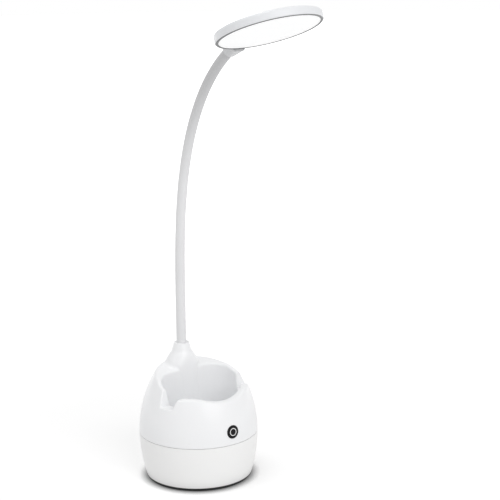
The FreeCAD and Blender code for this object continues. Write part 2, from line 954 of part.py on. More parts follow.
def head_lead_points(extra):
    """The wire's way from the neck's end through the stem to the light board's underside."""
    level = led_board_height - lead_radius
    start = end_spot - end_way * extra
    last = Vector(0, led_board_radius - wall, level)
    return [start, end_spot + end_way * head_lead_run, Vector(0, head_radius, level), last]


def head_lead():
    return put(lead(head_lead_points(0), head_lead_bend, lead_radius), head_place)


def rounded_outline(place, width, height, corner):
    """A closed outline with round corners, as the section of a loft."""
    w, h = width / 2, height / 2
    cut = corner * (1 - math.sqrt(0.5))
    corners = [
        ((w, h - corner), (w - cut, h - cut), (w - corner, h)),
        ((-w + corner, h), (-w + cut, h - cut), (-w, h - corner)),
        ((-w, -h + corner), (-w + cut, -h + cut), (-w + corner, -h)),
        ((w - corner, -h), (w - cut, -h + cut), (w, -h + corner)),
    ]
    edges = []
    for (start, via, end), after in zip(corners, corners[1:] + corners[:1]):
        edges.append(Part.Arc(place(*start), place(*via), place(*end)).toShape())
        edges.append(Part.makeLine(place(*end), place(*after[0])))
    return Part.Wire(edges)


def head_form():
    """The housing's outer form: a disc with a rounded top edge and a slight dome."""
    cut = head_round * (1 - math.sqrt(0.5))
    edge = head_radius - head_round
    sphere = (edge ** 2 + head_dome ** 2) / (2 * head_dome)
    crown = head_height + head_dome
    halfway = (edge / 2, crown - sphere + math.sqrt(sphere ** 2 - (edge / 2) ** 2))
    face = flat(
        front_plane,
        (0, bezel_height),
        (head_radius, bezel_height),
        (head_radius, head_height - head_round),
        ((head_radius - cut, head_height - cut), (edge, head_height)),
        (halfway, (0, crown)),
    )
    return turned(face)


def root_plane(x, height):
    return Vector(x, head_radius - stem_seat, head_height / 2 - stem_sink + height)


def mouth_plane(x, height):
    return mouth_spot + ACROSS * x + mouth_way.cross(ACROSS) * height


def head_stem():
    """Tapered block from the neck's end to the head's edge, with a tongue into the housing."""
    root = rounded_outline(root_plane, stem_width, stem_thickness, stem_corner)
    face = rounded_outline(mouth_plane, stem_mouth_width, stem_mouth_height, stem_mouth_corner)
    block = Part.makeLoft([root, face], True, True)
    below = disc(Vector(0, 0, bezel_height - overrun), head_radius, overrun)
    block = block.cut([head_form(), below])
    half = tongue_width / 2
    tongue_start = head_radius - tongue_length
    tongue = box(-half, half, tongue_start, head_radius + wall, ceiling - tongue_thickness, ceiling)
    hole = stem_screw_radius + screw_play
    cuts = pegs(stem_screw_spots, ceiling - tongue_thickness, tongue_thickness, hole)
    cuts.append(lead(head_lead_points(fit_play), head_lead_bend, lead_bore))
    stem = put(block.fuse(tongue).cut(cuts).removeSplitter(), head_place)
    length = link_lengths[hinge_count]
    return stem.cut(neck_bar(hinge_count, sleeve_radius + fit_play, length - wall, length + stem_seat))


def head_housing():
    """Shallow round pan with bosses for the light board and a slot for the stem's tongue."""
    inside = disc(Vector(0, 0, bezel_height), head_radius - head_wall, ceiling - bezel_height)
    boss_height = ceiling - led_board_top
    bosses = [disc(spot + UP * led_board_top, head_boss_radius, boss_height) for spot in boss_spots]
    shell = head_form().cut(inside).fuse(bosses)
    half = tongue_width / 2 + fit_play
    y0, y1 = head_radius - 2 * head_wall, head_radius + head_wall
    level = led_board_height - lead_radius
    screw_hole = head_screw_radius + screw_play / 2
    cuts = [
        box(-half, half, y0, y1, slot_bottom, ceiling),
        box(-lead_bore, lead_bore, y0, y1, level, ceiling),
        disc(Vector(0, y0, level), lead_bore, y1 - y0, BACK),
    ]
    cuts += [disc(spot + UP * led_board_top, screw_hole, boss_height + fit_play) for spot in boss_spots]
    cuts += pegs(stem_screw_spots, ceiling, head_wall * 3 / 4, stem_screw_radius + screw_play / 2)
    return put(shell.cut(cuts), head_place)


def head_bezel():
    """Ring round the lit face: bevelled outside, with a ledge for the diffuser inside."""
    spigot_top = bezel_height + spigot_height
    face = flat(
        front_plane,
        (bezel_opening, 0),
        (head_radius - bezel_chamfer, 0),
        (head_radius, bezel_chamfer),
        (head_radius, bezel_height),
        (spigot_radius, bezel_height),
        (spigot_radius, spigot_top),
        (spigot_inner, spigot_top),
        (spigot_inner, bezel_ledge),
        (bezel_opening, bezel_ledge),
    )
    return put(turned(face), head_place)


def diffuser():
    window = bezel_opening - diffuser_play
    face = disc(Vector(0, 0, diffuser_sink), window, bezel_ledge + diffuser_thickness - diffuser_sink)
    flange = disc(Vector(0, 0, bezel_ledge), spigot_inner - diffuser_play, diffuser_thickness)
    return put(face.fuse(flange), head_place)


def led_board():
    board = disc(Vector(0, 0, led_board_height), led_board_radius, led_board_thickness)
    hole = head_screw_radius + screw_play
    cuts = [disc(spot + UP * led_board_height, hole, led_board_thickness) for spot in boss_spots]
    return put(board.cut(cuts), head_place)


def led_chips():
    x, y = led_length / 2, led_width / 2
    chip = box(-x, x, -y, y, led_board_height - led_thickness, led_board_height)
    chips = []
    for share, count in zip(led_ring_shares, led_ring_counts):
        for n in range(count):
            angle = 360 / count * n
            spot = Placement(on_circle(share * led_board_radius, angle, 0), Rotation(UP, angle))
            chips.append(put(put(chip, spot), head_place))
    return chips


def low_screws(spots, length, radius):
    head = low_head_share * radius
    return [put(screw(spot, radius, length, head, low_head_height), head_place) for spot in spots]


def head_screws():
    spots = [spot + UP * led_board_height for spot in boss_spots]
    return low_screws(spots, ceiling - led_board_height, head_screw_radius)


def stem_screws():
    spots = [Vector(x, y, ceiling - tongue_thickness) for x, y in stem_screw_spots]
    return low_screws(spots, tongue_thickness + head_wall / 2, stem_screw_radius)


# Write the pieces

save("upper_shell", upper_shell())
save("lower_shell", lower_shell())
save("foot_pad", foot_pad())
save("shell_screws", *shell_screws())
save("counterweight", counterweight())
save("electronics_tray", electronics_tray())
save("tray_screws", *down_screws(tray_screw_spots, tray_top, tray_screw_radius, tray_screw_depth))
save("battery_cell", battery_cell())
save("main_board", main_board())
save("board_parts", *[board_block(shares) for shares in board_part_shares])
save("board_screws", *down_screws(standoff_spots, board_top, board_screw_radius, board_screw_depth))
save("charge_port", charge_port())
save("battery_lead", battery_lead())
save("switch_lead", switch_lead())

save("button_cap", button_cap())
save("button_ring", button_ring())
save("switch_plunger", switch_plunger())
save("switch_body", switch_body())
save("switch_board", switch_board())

save("neck_stud", neck_stud())
save("neck_washer", neck_washer())
save("neck_nut", neck_nut())
save("neck_grommet", neck_grommet())
for k in links:
    save("neck_core_%d" % (k + 1), neck_core(k))
    save("neck_sleeve_%d" % (k + 1), neck_sleeve(k))
    save("neck_lead_%d" % (k + 1), neck_lead(k))

save("head_stem", head_stem())
save("stem_screws", *stem_screws())
save("head_housing", head_housing())
save("head_bezel", head_bezel())
save("diffuser", diffuser())
save("led_board", led_board())
save("led_chips", *led_chips())
save("head_screws", *head_screws())
save("head_lead", head_lead())

for k in range(1, hinge_count + 1):
    print("hinge", k, "y %.4f z %.4f lean %.4f" % (knots[k].y, knots[k].z, math.degrees(leans[k])))
print("head at", head_place.Base, "mouth", mouth, "lean", math.degrees(mouth_lean))
print("end", end_spot, end_way)
print("button at", button_place.Base, "slope", math.degrees(button_slope))
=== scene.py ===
"""Looks for a white desk lamp with an egg shaped base, a pen cup, a telephone slot and a bendy neck."""

import math

import bpy
import bmesh
from mathutils import Matrix, Vector


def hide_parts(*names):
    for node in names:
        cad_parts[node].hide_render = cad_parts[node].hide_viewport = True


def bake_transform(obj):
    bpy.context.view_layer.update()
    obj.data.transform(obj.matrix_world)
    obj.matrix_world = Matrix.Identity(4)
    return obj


# Neck, with the same sizes as in the part's source: metres, but for the angle, the power and the counts
NECK_LENGTH = 0.301
NECK_OFFSET = 0.025
COLLAR_HEIGHT = 0.1215
NECK_END_ANGLE = math.radians(56.0)
NECK_POWER = 2.1
HINGE_COUNT = 7
PITCH = NECK_LENGTH / HINGE_COUNT
SLEEVE_RADIUS = 0.0046
SLEEVE_WALL = 0.0012
GROMMET_HEIGHT = 0.0022
STEM_SEAT = 0.005
RING_SIDES = 48
RING_STEP = 0.0024
LINE_STEP = 0.0001
LINE_SLACK = 1e-9
MERGE_DISTANCE = 1e-6

# Camera of the photograph: where it stands and how it is turned, in metres and degrees
CAMERA_AZIMUTH = -34.63
CAMERA_DISTANCE = 1.3265
CAMERA_HEIGHT = 0.5215
CAMERA_PITCH = 13.09
CAMERA_YAW = -2.17
CAMERA_ROLL = -0.79
CAMERA_LENS = 108.0
CAMERA_REACH = 50.0
SENSOR_WIDTH = 36.0

# Studio: strength of the sky, and two round lamps with their places in metres and powers in watts
WORLD_STRENGTH = 0.62
KEY_PLACE = (-0.1, -1.95, 1.15)
KEY_TARGET = (0.0, 0.0, 0.15)
KEY_SIZE = 1.8
KEY_POWER = 15.0
TOP_PLACE = (-0.45, 0.25, 1.9)
TOP_TARGET = (0.0, 0.0, 0.2)
TOP_SIZE = 1.2
TOP_POWER = 8.0

# Floor: its own tone, the glow that lifts it towards white, and how far a contact shadow reaches, in metres
FLOOR_RADIUS = 6.0
FLOOR_SIDES = 96
FLOOR_TONE = 0.9
FLOOR_ROUGHNESS = 0.9
FLOOR_LIFT = 0.2
LIFT_START = 0.25
LIFT_END = 1.1
CONTACT_REACH = 0.009

# Moulded surfaces: detail of their noises, how much of the relief is grain, and its depth in metres
DRIFT_SCALE = 14.0
DRIFT_DETAIL = 3.0
GRAIN_SCALE = 2600.0
GRAIN_DETAIL = 2.0
GRAIN_SHARE = 0.35
FLOW_SCALE = 60.0
ROUGHNESS = 0.4
ROUGHNESS_SPREAD = 0.08
RELIEF_STRENGTH = 0.02
RELIEF_DEPTH = 0.0002

# Turned steel: how far its lines are stretched, and its relief
LINES_STRETCH = (1.0, 1.0, 30.0)
LINES_SCALE = 120.0
LINES_STRENGTH = 0.08
LINES_DEPTH = 0.0001
STEEL_ROUGHNESS = 0.32

# Lit face
DIFFUSER_GLOW = 0.18
DIFFUSER_DRIFT = 40.0
DIFFUSER_ROUGHNESS = 0.5
DIFFUSER_RELIEF = 0.05

# Shade on the sleeve: the heights between which it deepens, in metres, and the share of the colour left
REST_HEIGHT = "rest height"
SHADE_START = 0.26
SHADE_END = 0.4
SHADE_SHARE = 0.7

# Bands of colour on the parts, in metres, and the head's tilt: a black band at the shell's bottom for the
# foot line and painted contact shade, and a painted shade line on the bezel
FOOT_LINE_AND_CONTACT_SHADE = 0.003
BAND_EDGE = 0.0001
BEZEL_SHADE_RADIUS = 0.0453
HEAD_TILT = math.radians(21.4)

# Sockets of a mix node when it mixes colours
MIX_FIRST = 6
MIX_SECOND = 7
MIX_RESULT = 2

WHITE = (1.0, 1.0, 1.0, 1.0)


# Node trees


def new_material(name, **constants):
    """A material with a Principled shader whose plain values are set on its own sockets."""
    material = bpy.data.materials.new(name)
    material.use_nodes = True
    nodes = material.node_tree.nodes
    shader = nodes["Principled BSDF"]
    for socket, value in constants.items():
        shader.inputs[socket.replace("_", " ")].default_value = value
    return material, nodes, material.node_tree.links, shader


def group_sockets(group, inputs, outputs):
    for name, (kind, value) in inputs.items():
        socket = group.interface.new_socket(name=name, in_out="INPUT", socket_type=kind)
        socket.default_value = value
    for name, kind in outputs.items():
        group.interface.new_socket(name=name, in_out="OUTPUT", socket_type=kind)


def node(nodes, kind, **settings):
    made = nodes.new(kind)
    for name, value in settings.items():
        setattr(made, name, value)
    return made


def set_inputs(made, **values):
    """Set plain values on a node's sockets: an underscore stands for a space."""
    for name, value in values.items():
        made.inputs[name.replace("_", " ")].default_value = value


def seen_ray(nodes, links):
    """One for rays that look at the background: from the camera, off gloss or through glass."""
    path = node(nodes, "ShaderNodeLightPath")
    first = node(nodes, "ShaderNodeMath", operation="ADD")
    both = node(nodes, "ShaderNodeMath", operation="ADD", use_clamp=True)
    links.new(path.outputs["Is Camera Ray"], first.inputs[0])
    links.new(path.outputs["Is Glossy Ray"], first.inputs[1])
    links.new(first.outputs[0], both.inputs[0])
    links.new(path.outputs["Is Transmission Ray"], both.inputs[1])
    return both.outputs[0]


def moulded_group():
    """Moulded plastic: a faint drift of tone, a fine eggshell grain and a slow flow waviness."""
    group = bpy.data.node_groups.new("moulded surface", "ShaderNodeTree")
    group_sockets(
        group,
        {
            "Color": ("NodeSocketColor", WHITE),
            "Shade": ("NodeSocketColor", WHITE),
            "Drift Scale": ("NodeSocketFloat", DRIFT_SCALE),
            "Grain Scale": ("NodeSocketFloat", GRAIN_SCALE),
            "Roughness": ("NodeSocketFloat", ROUGHNESS),
            "Roughness Spread": ("NodeSocketFloat", ROUGHNESS_SPREAD),
        },
        {"Color": "NodeSocketColor", "Roughness": "NodeSocketFloat", "Height": "NodeSocketFloat"},
    )
    nodes, links = group.nodes, group.links
    inputs = node(nodes, "NodeGroupInput")
    outputs = node(nodes, "NodeGroupOutput")
    place = node(nodes, "ShaderNodeTexCoord")
    drift = node(nodes, "ShaderNodeTexNoise")
    grain = node(nodes, "ShaderNodeTexNoise")
    flow = node(nodes, "ShaderNodeTexNoise")
    set_inputs(drift, Detail=DRIFT_DETAIL)
    set_inputs(grain, Detail=GRAIN_DETAIL)
    set_inputs(flow, Scale=FLOW_SCALE)
    for texture in (drift, grain, flow):
        links.new(place.outputs["Object"], texture.inputs["Vector"])
    links.new(inputs.outputs["Drift Scale"], drift.inputs["Scale"])
    links.new(inputs.outputs["Grain Scale"], grain.inputs["Scale"])
    mix = node(nodes, "ShaderNodeMix", data_type="RGBA")
    links.new(drift.outputs["Fac"], mix.inputs["Factor"])
    links.new(inputs.outputs["Color"], mix.inputs[MIX_FIRST])
    links.new(inputs.outputs["Shade"], mix.inputs[MIX_SECOND])
    centred = node(nodes, "ShaderNodeMath", operation="SUBTRACT")
    centred.inputs[1].default_value = 0.5
    links.new(flow.outputs["Fac"], centred.inputs[0])
    rough = node(nodes, "ShaderNodeMath", operation="MULTIPLY_ADD")
    links.new(centred.outputs[0], rough.inputs[0])
    links.new(inputs.outputs["Roughness Spread"], rough.inputs[1])
    links.new(inputs.outputs["Roughness"], rough.inputs[2])
    height = node(nodes, "ShaderNodeMath", operation="MULTIPLY_ADD")
    height.inputs[1].default_value = GRAIN_SHARE
    links.new(grain.outputs["Fac"], height.inputs[0])
    links.new(flow.outputs["Fac"], height.inputs[2])
    links.new(mix.outputs[MIX_RESULT], outputs.inputs["Color"])
    links.new(rough.outputs[0], outputs.inputs["Roughness"])
    links.new(height.outputs[0], outputs.inputs["Height"])
    return group


MOULDED = moulded_group()


# Materials


def moulded(
    name, color, shade,
    roughness=ROUGHNESS, drift=DRIFT_SCALE, grain=GRAIN_SCALE, bump=RELIEF_STRENGTH, **constants
):
    """A moulded or painted surface with its own colour, grain and gloss."""
    material, nodes, links, shader = new_material(name, **constants)
    surface = node(nodes, "ShaderNodeGroup", node_tree=MOULDED)
    set_inputs(surface, Color=(*color, 1.0), Shade=(*shade, 1.0), Roughness=roughness)
    set_inputs(surface, Drift_Scale=drift, Grain_Scale=grain, Roughness_Spread=ROUGHNESS_SPREAD)
    relief = node(nodes, "ShaderNodeBump")
    set_inputs(relief, Strength=bump, Distance=RELIEF_DEPTH)
    links.new(surface.outputs["Height"], relief.inputs["Height"])
    links.new(surface.outputs["Color"], shader.inputs["Base Color"])
    links.new(surface.outputs["Roughness"], shader.inputs["Roughness"])
    links.new(relief.outputs["Normal"], shader.inputs["Normal"])
    return material


def brushed(name, color, shade):
    """Turned steel: fine lines round the vertical axis."""
    material, nodes, links, shader = new_material(name, Metallic=1.0)
    place = node(nodes, "ShaderNodeTexCoord")
    stretch = node(nodes, "ShaderNodeMapping")
    set_inputs(stretch, Scale=LINES_STRETCH)
    lines = node(nodes, "ShaderNodeTexNoise")
    set_inputs(lines, Scale=LINES_SCALE)
    mix = node(nodes, "ShaderNodeMix", data_type="RGBA")
    mix.inputs[MIX_FIRST].default_value = (*color, 1.0)
    mix.inputs[MIX_SECOND].default_value = (*shade, 1.0)
    rough = node(nodes, "ShaderNodeMapRange")
    set_inputs(rough, To_Min=STEEL_ROUGHNESS - ROUGHNESS_SPREAD, To_Max=STEEL_ROUGHNESS + ROUGHNESS_SPREAD)
    relief = node(nodes, "ShaderNodeBump")
    set_inputs(relief, Strength=LINES_STRENGTH, Distance=LINES_DEPTH)
    links.new(place.outputs["Object"], stretch.inputs["Vector"])
    links.new(stretch.outputs["Vector"], lines.inputs["Vector"])
    links.new(lines.outputs["Fac"], mix.inputs["Factor"])
    links.new(lines.outputs["Fac"], rough.inputs["Value"])
    links.new(lines.outputs["Fac"], relief.inputs["Height"])
    links.new(mix.outputs[MIX_RESULT], shader.inputs["Base Color"])
    links.new(rough.outputs[0], shader.inputs["Roughness"])
    links.new(relief.outputs["Normal"], shader.inputs["Normal"])
    return material


def opal(name, color, shade):
    """Lit diffuser: shows white to the eye, with a fine prism texture, and lights nothing round it."""
    material = moulded(
        name, color, shade, roughness=DIFFUSER_ROUGHNESS, drift=DIFFUSER_DRIFT, bump=DIFFUSER_RELIEF,
        Specular_IOR_Level=0.3,
    )
    nodes, links = material.node_tree.nodes, material.node_tree.links
    shader = nodes["Principled BSDF"]
    glow = node(nodes, "ShaderNodeMath", operation="MULTIPLY")
    glow.inputs[1].default_value = DIFFUSER_GLOW
    links.new(seen_ray(nodes, links), glow.inputs[0])
    links.new(glow.outputs[0], shader.inputs["Emission Strength"])
    links.new(shader.inputs["Base Color"].links[0].from_socket, shader.inputs["Emission Color"])
    return material


def paint_shade_upwards(material):
    """Paint shade on a surface: darken its colour between two heights of its resting shape."""
    nodes, links = material.node_tree.nodes, material.node_tree.links
    shader = nodes["Principled BSDF"]
    surface = shader.inputs["Base Color"].links[0].from_socket
    height = node(nodes, "ShaderNodeAttribute", attribute_name=REST_HEIGHT)
    level = node(nodes, "ShaderNodeMapRange", interpolation_type="SMOOTHSTEP")
    set_inputs(level, From_Min=SHADE_START, From_Max=SHADE_END, To_Min=1.0, To_Max=SHADE_SHARE)
    darker = node(nodes, "ShaderNodeMix", data_type="RGBA", blend_type="MULTIPLY")
    set_inputs(darker, Factor=1.0)
    links.new(height.outputs["Fac"], level.inputs["Value"])
    links.new(surface, darker.inputs[MIX_FIRST])
    links.new(level.outputs[0], darker.inputs[MIX_SECOND])
    links.new(darker.outputs[MIX_RESULT], shader.inputs["Base Color"])


def height_measure(nodes, links):
    """Height over the table, at rest."""
    place = node(nodes, "ShaderNodeTexCoord")
    parts = node(nodes, "ShaderNodeSeparateXYZ")
    links.new(place.outputs["Object"], parts.inputs[0])
    return parts.outputs["Z"]


def radius_measure(center, tilt):
    """Distance from a tilted axis through a point."""

    def measure(nodes, links):
        place = node(nodes, "ShaderNodeTexCoord")
        aligned = node(nodes, "ShaderNodeMapping", vector_type="TEXTURE")
        set_inputs(aligned, Location=center, Rotation=(tilt, 0.0, 0.0))
        flat = node(nodes, "ShaderNodeVectorMath", operation="MULTIPLY")
        flat.inputs[1].default_value = (1.0, 1.0, 0.0)
        reach = node(nodes, "ShaderNodeVectorMath", operation="LENGTH")
        links.new(place.outputs["Object"], aligned.inputs["Vector"])
        links.new(aligned.outputs["Vector"], flat.inputs[0])
        links.new(flat.outputs[0], reach.inputs[0])
        return reach.outputs["Value"]

    return measure


def add_band(material, color, limit, measure):
    """Give a surface another colour wherever a measure stays under a limit."""
    nodes, links = material.node_tree.nodes, material.node_tree.links
    shader = nodes["Principled BSDF"]
    surface = shader.inputs["Base Color"].links[0].from_socket
    inside = node(nodes, "ShaderNodeMapRange", interpolation_type="SMOOTHSTEP")
    set_inputs(inside, From_Min=limit - BAND_EDGE, From_Max=limit + BAND_EDGE, To_Min=1.0, To_Max=0.0)
    mix = node(nodes, "ShaderNodeMix", data_type="RGBA")
    mix.inputs[MIX_SECOND].default_value = (*color, 1.0)
    links.new(measure(nodes, links), inside.inputs["Value"])
    links.new(inside.outputs[0], mix.inputs["Factor"])
    links.new(surface, mix.inputs[MIX_FIRST])
    links.new(mix.outputs[MIX_RESULT], shader.inputs["Base Color"])


def disc_center(part):
    """Middle of a round part's bounding box."""
    corners = [Vector(corner) for corner in part.bound_box]
    return tuple(sum(corners, Vector()) / len(corners))


def finish_node(nodes, names, material):
    """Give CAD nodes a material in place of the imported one."""
    for name in names:
        slots = nodes[name].data.materials
        slots.clear()
        slots.append(material)


def finish_base(nodes):
    shell = moulded("white shell", (0.9, 0.905, 0.915), (0.875, 0.88, 0.89), roughness=0.34, Coat_Weight=0.15)
    lower = moulded("lower shell", (0.91, 0.91, 0.905), (0.885, 0.885, 0.88), roughness=0.36)
    # Black band at the lower shell's bottom edge: it stands for the black foot line and paints the shade
    # where the shell meets the floor
    add_band(lower, (0.02, 0.02, 0.02), FOOT_LINE_AND_CONTACT_SHADE, height_measure)
    rubber = moulded(
        "foot rubber", (0.018, 0.018, 0.018), (0.03, 0.03, 0.03), roughness=0.75, bump=0.2, grain=1500.0
    )
    black = moulded(
        "button black", (0.006, 0.006, 0.007), (0.01, 0.01, 0.011), roughness=0.5, bump=0.05,
        Specular_IOR_Level=0.12,
    )
    pale = moulded("button ring", (0.97, 0.97, 0.97), (0.94, 0.94, 0.94), roughness=0.3)
    finish_node(nodes, ["upper_shell", "neck_grommet"], shell)
    finish_node(nodes, ["lower_shell"], lower)
    finish_node(nodes, ["foot_pad"], rubber)
    finish_node(nodes, ["button_cap"], black)
    finish_node(nodes, ["button_ring"], pale)


def finish_head(nodes):
    color, shade = (0.8, 0.81, 0.83), (0.77, 0.78, 0.8)
    shell = moulded("head shell", color, shade, roughness=0.33)
    # The stem is a darker grey than the head: painted shade under the head
    stem = moulded("stem", (0.64, 0.645, 0.655), (0.6, 0.605, 0.615))
    bezel = moulded("bezel", color, shade)
    # Painted shade on the bezel: a dark grey ring inside this radius stands for the shaded lip round the lit
    # face
    from_axis = radius_measure(disc_center(nodes["diffuser"]), -HEAD_TILT)
    add_band(bezel, (0.1, 0.103, 0.107), BEZEL_SHADE_RADIUS, from_axis)
    finish_node(nodes, ["head_housing"], shell)
    finish_node(nodes, ["head_stem"], stem)
    finish_node(nodes, ["head_bezel"], bezel)
    finish_node(nodes, ["diffuser"], opal("lit diffuser", (0.93, 0.93, 0.93), (0.9, 0.905, 0.91)))


def finish_inside(nodes):
    """Materials of the parts that the shells hide."""
    links_of_neck = range(1, HINGE_COUNT + 2)
    grey = moulded("grey plastic", (0.3, 0.31, 0.32), (0.25, 0.26, 0.27), roughness=0.5, bump=0.1)
    dark = moulded("component black", (0.03, 0.03, 0.03), (0.05, 0.05, 0.05), roughness=0.45)
    green = moulded("circuit board", (0.02, 0.14, 0.06), (0.03, 0.18, 0.08), roughness=0.35, drift=200.0)
    board_white = moulded("white board", (0.8, 0.8, 0.78), (0.76, 0.76, 0.74))
    blue = moulded("battery wrap", (0.05, 0.16, 0.38), (0.04, 0.13, 0.32), roughness=0.3)
    red_wire = moulded("red insulation", (0.5, 0.03, 0.02), (0.42, 0.02, 0.02), roughness=0.45)
    white_wire = moulded("white insulation", (0.75, 0.75, 0.74), (0.7, 0.7, 0.69), roughness=0.45)
    phosphor = moulded("phosphor", (0.85, 0.68, 0.2), (0.8, 0.62, 0.18), roughness=0.6)
    steel = brushed("turned steel", (0.55, 0.55, 0.56), (0.42, 0.42, 0.43))
    finish_node(nodes, ["electronics_tray"], grey)
    finish_node(nodes, ["board_parts", "switch_body", "switch_plunger"], dark)
    finish_node(nodes, ["main_board", "switch_board"], green)
    finish_node(nodes, ["led_board"], board_white)
    finish_node(nodes, ["led_chips"], phosphor)
    finish_node(nodes, ["battery_cell"], blue)
    finish_node(nodes, ["battery_lead"], red_wire)
    leads = ["switch_lead", "head_lead"] + ["neck_lead_%d" % k for k in links_of_neck]
    metal = ["shell_screws", "tray_screws", "board_screws", "head_screws", "stem_screws", "counterweight"]
    metal += ["charge_port", "neck_stud", "neck_washer", "neck_nut"]
    metal += ["neck_core_%d" % k for k in links_of_neck]
    finish_node(nodes, leads, white_wire)
    finish_node(nodes, metal, steel)


# Neck


def station(k):
    """Distance along the neck from the collar to hinge k, counted from 1."""
    return (k - 0.5) * PITCH


def lean_at(distance):
    """How far the neck leans forward at a distance along it, in radians."""
    first = station(1)
    share = max(0.0, (distance - first) / (NECK_LENGTH - first))
    return NECK_END_ANGLE * share ** NECK_POWER


def neck_line(start, end, steps):
    """Points along the neck's centre line, each link being one arc between two hinges' leans."""
    knots = [0.0] + [station(k) for k in range(1, HINGE_COUNT + 1)] + [NECK_LENGTH]
    leans = [lean_at(s) for s in knots]

    def lean(s):
        k = max(i for i in range(len(knots) - 1) if knots[i] <= max(s, 0.0))
        return leans[k] + (leans[k + 1] - leans[k]) * (s - knots[k]) / (knots[k + 1] - knots[k])

    s = min(start, 0.0)
    y = NECK_OFFSET
    z = COLLAR_HEIGHT + s
    points = []
    for n in range(steps + 1):
        target = start + (end - start) * n / steps
        while s < target - LINE_SLACK:
            step = min(LINE_STEP, target - s)
            middle = lean(s + step / 2) if s + step / 2 > 0 else 0.0
            y -= math.sin(middle) * step
            z += math.cos(middle) * step
            s += step
        points.append(Vector((0.0, y, z)))
    return points


def sleeve_tree(material):
    """A hose along a line of edges: named inputs set its radius and its number of sides."""
    tree = bpy.data.node_groups.new("soft sleeve", "GeometryNodeTree")
    tree.interface.new_socket(name="Line", in_out="INPUT", socket_type="NodeSocketGeometry")
    radius = tree.interface.new_socket(name="Radius", in_out="INPUT", socket_type="NodeSocketFloat")
    sides = tree.interface.new_socket(name="Sides", in_out="INPUT", socket_type="NodeSocketInt")
    tree.interface.new_socket(name="Geometry", in_out="OUTPUT", socket_type="NodeSocketGeometry")
    nodes, links = tree.nodes, tree.links
    inputs = node(nodes, "NodeGroupInput")
    outputs = node(nodes, "NodeGroupOutput")
    line = node(nodes, "GeometryNodeMeshToCurve")
    profile = node(nodes, "GeometryNodeCurvePrimitiveCircle")
    sweep = node(nodes, "GeometryNodeCurveToMesh")
    smooth = node(nodes, "GeometryNodeSetShadeSmooth")
    real = node(nodes, "GeometryNodeRealizeInstances")
    dress = node(nodes, "GeometryNodeSetMaterial")
    set_inputs(dress, Material=material)
    links.new(inputs.outputs["Line"], line.inputs["Mesh"])
    links.new(inputs.outputs["Radius"], profile.inputs["Radius"])
    links.new(inputs.outputs["Sides"], profile.inputs["Resolution"])
    links.new(line.outputs["Curve"], sweep.inputs["Curve"])
    links.new(profile.outputs["Curve"], sweep.inputs["Profile Curve"])
    links.new(sweep.outputs["Mesh"], smooth.inputs["Geometry"])
    links.new(smooth.outputs["Geometry"], real.inputs["Geometry"])
    links.new(real.outputs["Geometry"], dress.inputs["Geometry"])
    links.new(dress.outputs["Geometry"], outputs.inputs["Geometry"])
    return tree, {"Radius": radius.identifier, "Sides": sides.identifier}


def closed_tube(mesh, wall):
    """Give an open tube its wall, keep its outside where it is and turn its faces outwards."""
    work = bmesh.new()
    work.from_mesh(mesh)
    bmesh.ops.remove_doubles(work, verts=work.verts, dist=MERGE_DISTANCE)
    bmesh.ops.recalc_face_normals(work, faces=work.faces)
    rings = [edge for edge in work.edges if edge.is_boundary]
    outer_faces = list(work.faces)
    inner = {}
    for vertex in list(work.verts):
        inner[vertex] = work.verts.new(vertex.co - vertex.normal * wall)
    for face in outer_faces:
        work.faces.new([inner[v] for v in reversed(face.verts)]).smooth = True
    for edge in rings:
        face = edge.link_faces[0]
        loop = next(l for l in face.loops if l.edge == edge)
        a, b = loop.vert, loop.link_loop_next.vert
        work.faces.new([b, a, inner[a], inner[b]])
        edge.smooth = False
    work.to_mesh(mesh)
    work.free()


def keep_rest_height(mesh):
    """Store each point's height at rest, so that the shade stays on the sleeve when it bends."""
    heights = mesh.attributes.new(REST_HEIGHT, "FLOAT", "POINT")
    heights.data.foreach_set("value", [vertex.co.z for vertex in mesh.vertices])


def neck_sleeve(k, tree, sockets):
    """The sleeve's stretch over hinge k: from the middle of one link to the middle of the next."""
    start = -GROMMET_HEIGHT if k == 1 else station(k) - PITCH / 2
    end = NECK_LENGTH + STEM_SEAT if k == HINGE_COUNT else station(k) + PITCH / 2
    steps = round((end - start) / RING_STEP)
    mesh = bpy.data.meshes.new("neck line %d" % k)
    mesh.from_pydata(neck_line(start, end, steps), [(n, n + 1) for n in range(steps)], [])
    line = bpy.data.objects.new("line", mesh)
    bpy.context.scene.collection.objects.link(line)
    modifier = line.modifiers.new("sleeve", "NODES")
    modifier.node_group = tree
    modifier[sockets["Radius"]] = SLEEVE_RADIUS
    modifier[sockets["Sides"]] = RING_SIDES
    graph = bpy.context.evaluated_depsgraph_get()
    tube = bpy.data.meshes.new_from_object(line.evaluated_get(graph), depsgraph=graph)
    bpy.data.objects.remove(line)
    closed_tube(tube, SLEEVE_WALL)
    keep_rest_height(tube)
    piece = bpy.data.objects.new("sleeve_over_hinge_%d" % k, tube)
    bpy.context.scene.collection.objects.link(piece)
    return piece


def dress_neck():
    """Draw the sleeve as seven stretches, each over one hinge from the middle of one link to the middle of
    the next, and hide the CAD sleeve pieces.
    """
    material = moulded("soft sleeve", (0.79, 0.79, 0.8), (0.755, 0.755, 0.765), roughness=0.5, drift=30.0)
    # Painted shade from the head: the sleeve darkens towards its top
    paint_shade_upwards(material)
    tree, sockets = sleeve_tree(material)
    for k in range(1, HINGE_COUNT + 1):
        piece = neck_sleeve(k, tree, sockets)
        low, high = neck_line(station(k) - PITCH / 2, station(k) + PITCH / 2, 1)
        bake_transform(piece)
        names = ["neck_sleeve_%d" % k]
        if k == HINGE_COUNT:
            names.append("neck_sleeve_%d" % (k + 1))
        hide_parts(*names)


# Camera, light and floor


